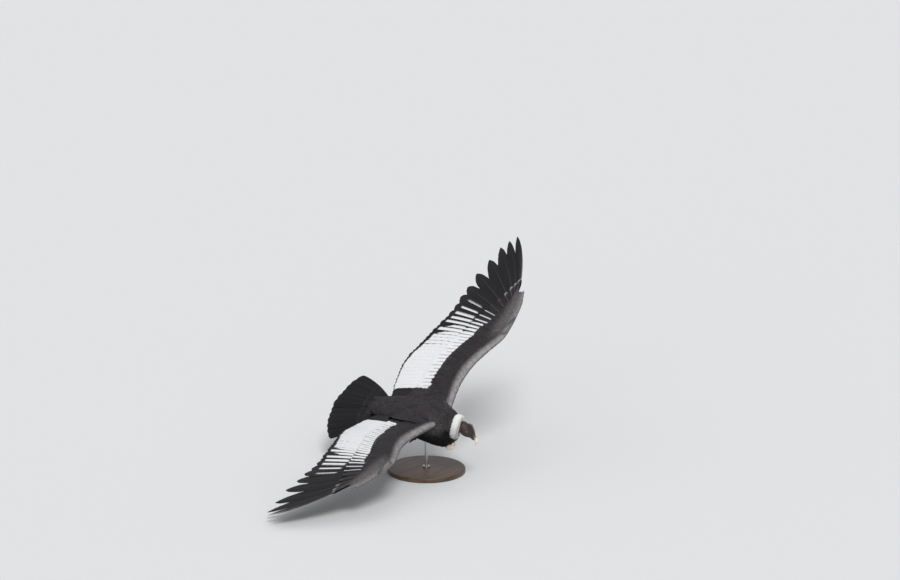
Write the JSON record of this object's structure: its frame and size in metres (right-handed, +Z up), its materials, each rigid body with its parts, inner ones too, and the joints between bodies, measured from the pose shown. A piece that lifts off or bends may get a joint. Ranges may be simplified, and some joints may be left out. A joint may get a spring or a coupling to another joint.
{
  "type": "andean condor display model",
  "caption": "Life-size still model of a soaring male Andean condor with spread, finger-tipped wings, banked on a round base with one rod.",
  "frame": {"origin": "centre of the underside of the round stand base, on the floor", "axes": "+Z up; -Y is the way the bird flies; +X is towards its left wing, which is the raised one"},
  "size_m": [2.675, 1.1349, 1.2399],
  "materials": {
    "body_feathers": "soft black-brown contour feathers",
    "wing_feathers": "black flight feathers with a white upper panel",
    "tail_feathers": "glossy black tail feathers",
    "ruff_down": "white down",
    "head_skin": "bare wrinkled skin",
    "comb_skin": "fleshy comb",
    "crop_skin": "bare pale crop skin",
    "bill_horn": "ivory horn",
    "eye": "wet dark brown",
    "leg_scales": "grey scaled skin",
    "stand_wood": "dark oiled wood",
    "stand_metal": "satin"
  },
  "bodies": {
    "root": {"torso": "body_feathers", "crop": "crop_skin", "neck": "head_skin", "ruff": "ruff_down", "head": "head_skin", "comb": "comb_skin", "bill_upper": "bill_horn", "bill_lower": "bill_horn", "eye_left": "eye", "eye_right": "eye", "wing_left_arm": "wing_feathers", "wing_left_hand": "wing_feathers", "wing_right_arm": "wing_feathers", "wing_right_hand": "wing_feathers", "tail": "tail_feathers", "thigh_left": "body_feathers", "thigh_right": "body_feathers", "shank_left": "leg_scales", "shank_right": "leg_scales", "foot_left": "leg_scales", "foot_right": "leg_scales", "stand_base": "stand_wood", "stand_collar": "stand_metal", "stand_rod": "stand_metal"}
  },
  "joints": []
}
